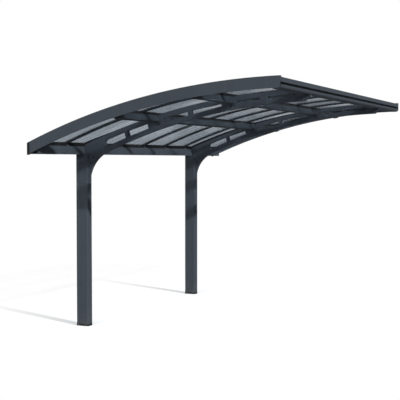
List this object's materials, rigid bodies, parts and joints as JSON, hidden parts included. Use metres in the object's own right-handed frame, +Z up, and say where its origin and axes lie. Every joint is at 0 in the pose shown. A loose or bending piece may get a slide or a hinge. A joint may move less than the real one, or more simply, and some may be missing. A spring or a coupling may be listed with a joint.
{
  "type": "cantilever carport",
  "caption": "Open cantilever carport: box posts and slotted curved arms on the low side carry a barrel-curved roof of grey clear sheets between deep gable fascias.",
  "frame": {"origin": "centre of the front post's foot, at ground level", "axes": "+X from the posts towards the free edge of the roof, +Y along the eave towards the rear gable, +Z up"},
  "size_m": [2.85, 4.95, 2.7177],
  "materials": {
    "frame": "satin anthracite powder coat",
    "foot_plate": "mill finish",
    "roof_sheet": "clear grey polycarbonate"
  },
  "bodies": {
    "root": {"front_foot": "foot_plate", "rear_foot": "foot_plate", "front_post": "frame", "rear_post": "frame", "front_arm_root": "frame", "front_arm_middle": "frame", "front_arm_tip": "frame", "rear_arm_root": "frame", "rear_arm_middle": "frame", "rear_arm_tip": "frame", "eave_beam": "frame", "purlin_1": "frame", "purlin_2": "frame", "edge_beam": "frame", "front_fascia": "frame", "rear_fascia": "frame", "fascia_end_caps": "frame", "front_edge_rib": "frame", "rib_1": "frame", "rib_2": "frame", "rib_3": "frame", "rib_4": "frame", "rib_5": "frame", "rib_6": "frame", "rib_7": "frame", "rear_edge_rib": "frame", "sheet_1": "roof_sheet", "sheet_2": "roof_sheet", "sheet_3": "roof_sheet", "sheet_4": "roof_sheet", "sheet_5": "roof_sheet", "sheet_6": "roof_sheet", "sheet_7": "roof_sheet", "sheet_8": "roof_sheet", "rib_caps": "frame"}
  },
  "joints": []
}
